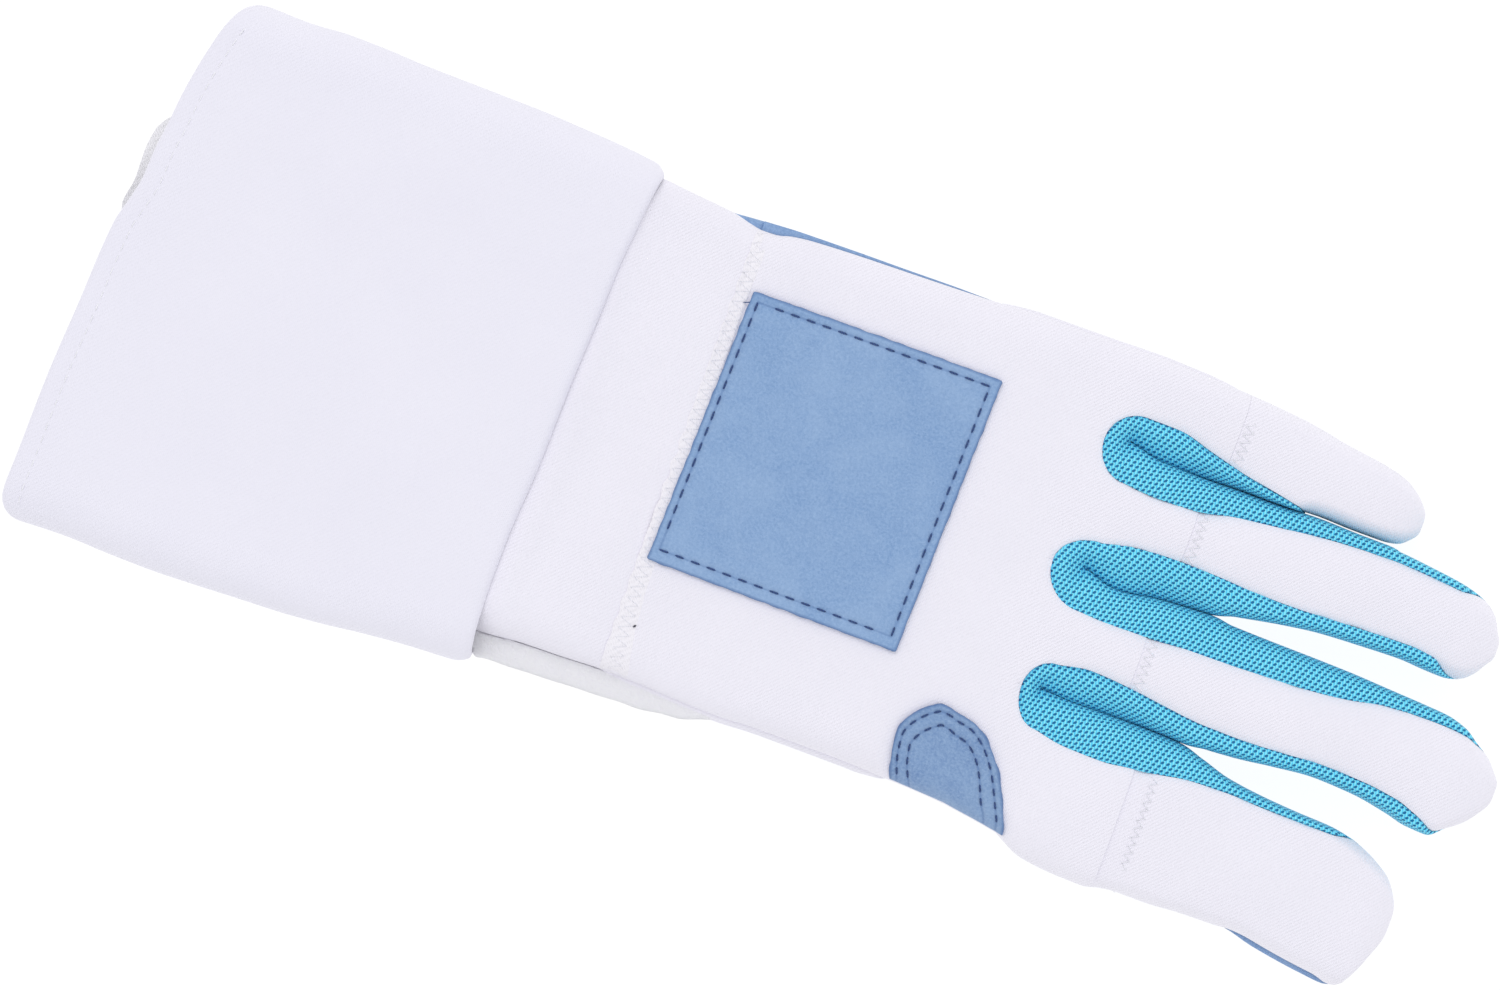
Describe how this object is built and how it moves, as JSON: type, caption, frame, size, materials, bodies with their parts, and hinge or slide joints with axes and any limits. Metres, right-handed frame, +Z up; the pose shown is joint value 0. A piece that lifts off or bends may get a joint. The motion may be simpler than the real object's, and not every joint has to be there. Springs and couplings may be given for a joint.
{
  "type": "fencing glove",
  "caption": "Left fencing glove lying palm down: wide cuff, padded white back, mesh insets between the fingers, suede patches and palm",
  "frame": {"origin": "middle of the bottom of the bounding box, on the surface that the glove lies on", "axes": "+X from the cuff to the fingertips, +Y to the little finger side, +Z up from the palm"},
  "size_m": [0.361, 0.1368, 0.0244],
  "materials": {
    "white_fabric": "smooth white woven sports fabric with a faint lilac tone",
    "lining_fabric": "thin greyish white lining",
    "brushed_fabric": "brushed loop fabric",
    "turquoise_mesh": "coarse knitted mesh, turquoise over dark teal holes",
    "blue_suede": "short napped synthetic suede"
  },
  "bodies": {
    "root": {"cuff": "white_fabric", "cuff_lining": "lining_fabric", "wrist_panel": "white_fabric", "wrist_loop_strip": "brushed_fabric", "hand_back": "white_fabric", "index_back": "white_fabric", "middle_back": "white_fabric", "ring_back": "white_fabric", "little_back": "white_fabric", "gusset_index_middle": "turquoise_mesh", "gusset_middle_ring": "turquoise_mesh", "gusset_ring_little": "turquoise_mesh", "palm": "blue_suede", "thumb": "blue_suede", "back_patch": "blue_suede", "thumb_patch": "blue_suede"}
  },
  "joints": []
}
